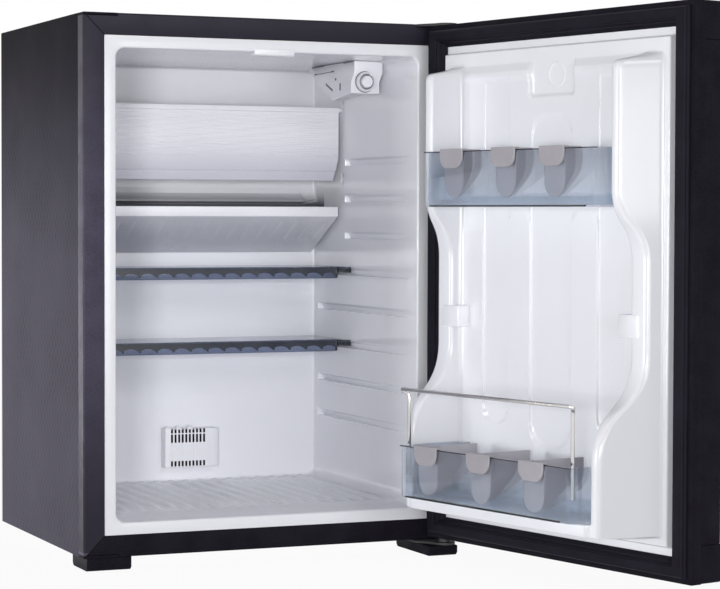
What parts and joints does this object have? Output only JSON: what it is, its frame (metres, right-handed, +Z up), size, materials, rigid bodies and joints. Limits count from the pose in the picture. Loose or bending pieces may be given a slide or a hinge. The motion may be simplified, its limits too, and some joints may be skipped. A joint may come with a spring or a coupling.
{
  "type": "minibar fridge",
  "caption": "Free-standing absorption minibar: black cabinet, white inside, door hinged on the right with clear racks, a wire guard and bottle dividers.",
  "frame": {"origin": "centre of the bounding box's footprint, on the floor, with the door open as pictured", "axes": "+Z up, +Y from the cabinet's front to its back, +X to the right as one faces the front"},
  "size_m": [0.4958, 0.7998, 0.561],
  "materials": {
    "side_steel": "textured black paint",
    "plain_steel": "zinc-plated sheet",
    "black_plastic": "fine-grained black",
    "white_plastic": "bluish white, half gloss",
    "grey_plastic": "light grey",
    "smoky_clear": "clear with a grey-blue tint",
    "blue_clear": "clear, dark blue at its edges",
    "lamp_clear": "milky clear",
    "chrome_wire": "polished",
    "cold_aluminium": "satin",
    "unit_black": "matt black enamel",
    "seal_rubber": "soft black",
    "foam": "rigid foam"
  },
  "bodies": {
    "cabinet": {"absorber_coil": "unit_black", "absorber_tank": "unit_black", "base_plate": "plain_steel", "boiler": "unit_black", "cabinet_foam": "foam", "cabinet_wrapper": "side_steel", "condenser": "unit_black", "control_box": "black_plastic", "evaporator": "cold_aluminium", "evaporator_pipe": "unit_black", "foot_front_left": "black_plastic", "foot_rear_left": "black_plastic", "foot_rear_right": "black_plastic", "frame_bottom": "black_plastic", "frame_left": "black_plastic", "frame_right": "black_plastic", "frame_top": "black_plastic", "hinge_blank_bottom": "black_plastic", "hinge_blank_top": "black_plastic", "hinge_foot": "black_plastic", "inner_liner": "white_plastic", "lamp_bulb": "lamp_clear", "lamp_housing": "white_plastic", "lamp_lens": "lamp_clear", "lock_catch": "white_plastic", "lower_hinge": "unit_black", "power_inlet": "black_plastic", "rear_plate": "plain_steel", "riser_pipe": "unit_black", "unit_strap_left": "unit_black", "unit_strap_right": "unit_black", "upper_hinge": "unit_black", "vent_cover": "white_plastic"},
    "door": {"door_cap_free_bottom": "black_plastic", "door_cap_free_top": "black_plastic", "door_cap_hinge_bottom": "black_plastic", "door_cap_hinge_top": "black_plastic", "door_foam": "foam", "door_inner_frame": "black_plastic", "door_liner": "white_plastic", "door_panel": "side_steel", "door_trim_bottom": "black_plastic", "door_trim_free_side": "black_plastic", "door_trim_hinge_side": "black_plastic", "door_trim_top": "black_plastic", "gasket": "seal_rubber"},
    "freezer_flap": {"freezer_flap": "white_plastic"},
    "drip_tray": {"drip_tray": "white_plastic"},
    "shelf_upper": {"shelf_upper": "blue_clear"},
    "shelf_lower": {"shelf_lower": "blue_clear"},
    "thermostat_knob": {"thermostat_knob": "white_plastic"},
    "rack_upper": {"rack_upper": "smoky_clear"},
    "rack_lower": {"rack_lower": "smoky_clear"},
    "bottle_bail": {"bottle_bail": "chrome_wire"},
    "divider_upper_1": {"divider_upper_1": "grey_plastic"},
    "divider_upper_2": {"divider_upper_2": "grey_plastic"},
    "divider_upper_3": {"divider_upper_3": "grey_plastic"},
    "divider_lower_1": {"divider_lower_1": "grey_plastic"},
    "divider_lower_2": {"divider_lower_2": "grey_plastic"},
    "divider_lower_3": {"divider_lower_3": "grey_plastic"}
  },
  "joints": [
    {"name": "door_hinge", "type": "hinge", "parent": "cabinet", "child": "door", "pos_m": [0.14213, -0.01573, 0.019], "axis": [0, 0, 1], "range_deg": [-102, 15]},
    {"name": "flap_hinge", "type": "hinge", "parent": "cabinet", "child": "freezer_flap", "pos_m": [-0.04687, 0.21107, 0.478], "axis": [-1, 0, 0], "range_deg": [0, 75]},
    {"name": "tray_slide", "type": "slide", "parent": "cabinet", "child": "drip_tray", "axis": [0, -1, 0], "range_m": [0, 0.12]},
    {"name": "shelf_upper_slide", "type": "slide", "parent": "cabinet", "child": "shelf_upper", "axis": [0, -1, 0], "range_m": [0, 0.15]},
    {"name": "shelf_lower_slide", "type": "slide", "parent": "cabinet", "child": "shelf_lower", "axis": [0, -1, 0], "range_m": [0, 0.15]},
    {"name": "knob_turn", "type": "hinge", "parent": "cabinet", "child": "thermostat_knob", "pos_m": [0.09413, 0.08707, 0.5036], "axis": [0, 1, 0], "range_deg": [0, 270]},
    {"name": "rack_upper_lift", "type": "slide", "parent": "door", "child": "rack_upper", "axis": [0, 0, 1], "range_m": [0, 0.03]},
    {"name": "rack_lower_lift", "type": "slide", "parent": "door", "child": "rack_lower", "axis": [0, 0, 1], "range_m": [0, 0.03]},
    {"name": "guard_lift", "type": "slide", "parent": "rack_lower", "child": "bottle_bail", "axis": [0, 0, 1], "range_m": [0, 0.03]},
    {"name": "divider_upper_1_slide", "type": "slide", "parent": "rack_upper", "child": "divider_upper_1", "axis": [-0.2079, 0.9781, 0], "range_m": [-0.015, 0.015]},
    {"name": "divider_upper_2_slide", "type": "slide", "parent": "rack_upper", "child": "divider_upper_2", "axis": [-0.2079, 0.9781, 0], "range_m": [-0.015, 0.015]},
    {"name": "divider_upper_3_slide", "type": "slide", "parent": "rack_upper", "child": "divider_upper_3", "axis": [-0.2079, 0.9781, 0], "range_m": [-0.015, 0.015]},
    {"name": "divider_lower_1_slide", "type": "slide", "parent": "rack_lower", "child": "divider_lower_1", "axis": [-0.2079, 0.9781, 0], "range_m": [-0.015, 0.015]},
    {"name": "divider_lower_2_slide", "type": "slide", "parent": "rack_lower", "child": "divider_lower_2", "axis": [-0.2079, 0.9781, 0], "range_m": [-0.015, 0.015]},
    {"name": "divider_lower_3_slide", "type": "slide", "parent": "rack_lower", "child": "divider_lower_3", "axis": [-0.2079, 0.9781, 0], "range_m": [-0.015, 0.015]}
  ]
}
